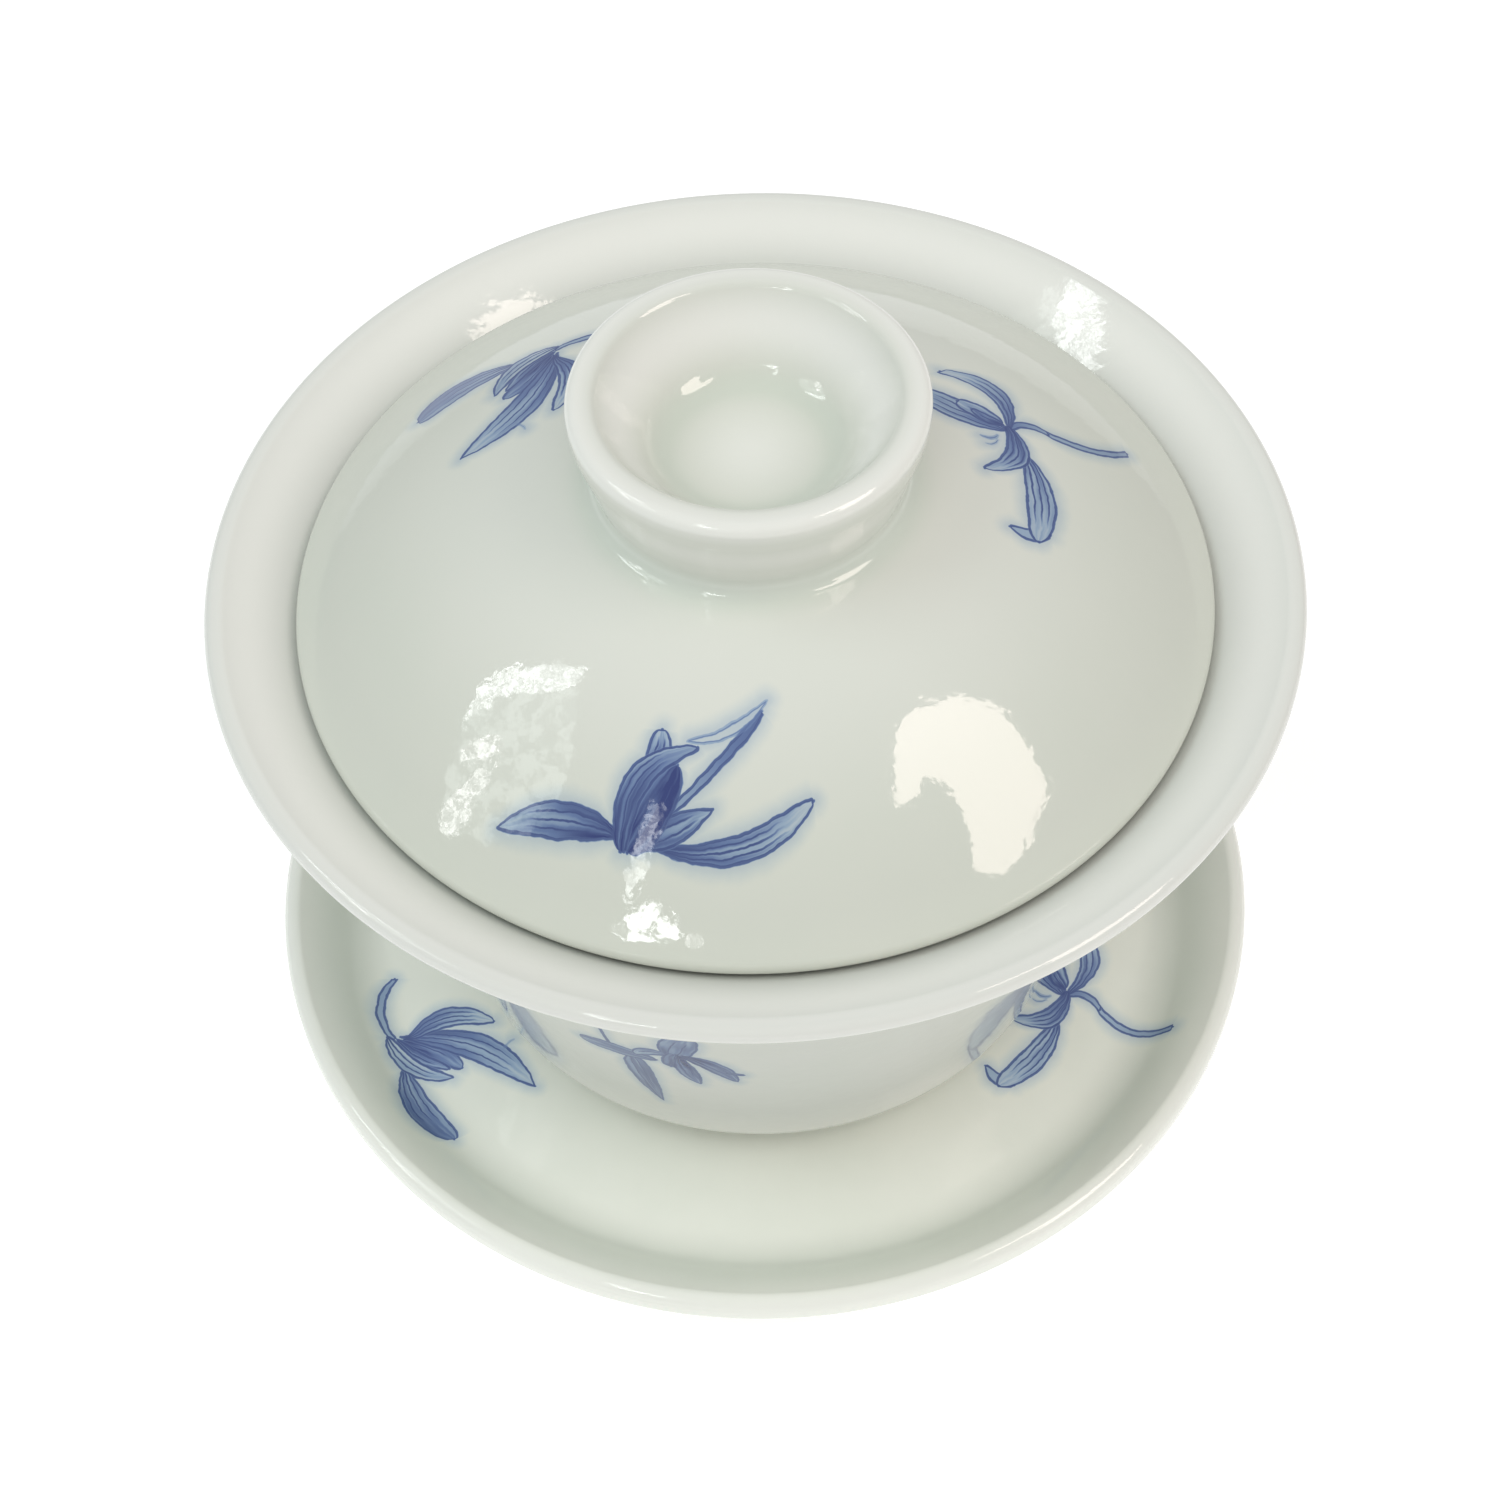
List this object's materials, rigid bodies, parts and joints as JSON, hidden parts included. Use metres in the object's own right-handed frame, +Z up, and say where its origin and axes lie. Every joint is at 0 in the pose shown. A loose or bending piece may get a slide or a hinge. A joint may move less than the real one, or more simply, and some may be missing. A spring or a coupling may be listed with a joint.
{
  "type": "lidded tea bowl with saucer",
  "caption": "Gaiwan: a flared porcelain tea bowl with a domed lid and its saucer, glazed pale celadon white with underglaze blue orchid sprays.",
  "frame": {"origin": "centre of the circle on which the saucer's foot ring stands", "axes": "+Z up along the common axis of saucer, bowl and lid; +X and +Y level, with -Y towards the side that carries the lid's front spray"},
  "size_m": [0.101, 0.101, 0.0883],
  "materials": {
    "saucer_glaze": "glossy pale celadon-white glaze with underglaze blue orchid sprays",
    "bowl_glaze": "glossy pale celadon-white glaze with underglaze blue orchid sprays",
    "lid_glaze": "glossy pale celadon-white glaze with underglaze blue orchid sprays"
  },
  "bodies": {
    "saucer": {"saucer": "saucer_glaze"},
    "bowl": {"bowl": "bowl_glaze"},
    "lid": {"lid": "lid_glaze"}
  },
  "joints": [
    {"name": "bowl_lift", "type": "slide", "parent": "saucer", "child": "bowl", "axis": [0, 0, 1], "range_m": [0, 0.05]},
    {"name": "lid_lift", "type": "slide", "parent": "bowl", "child": "lid", "axis": [0, 0, 1], "range_m": [0, 0.05]}
  ]
}
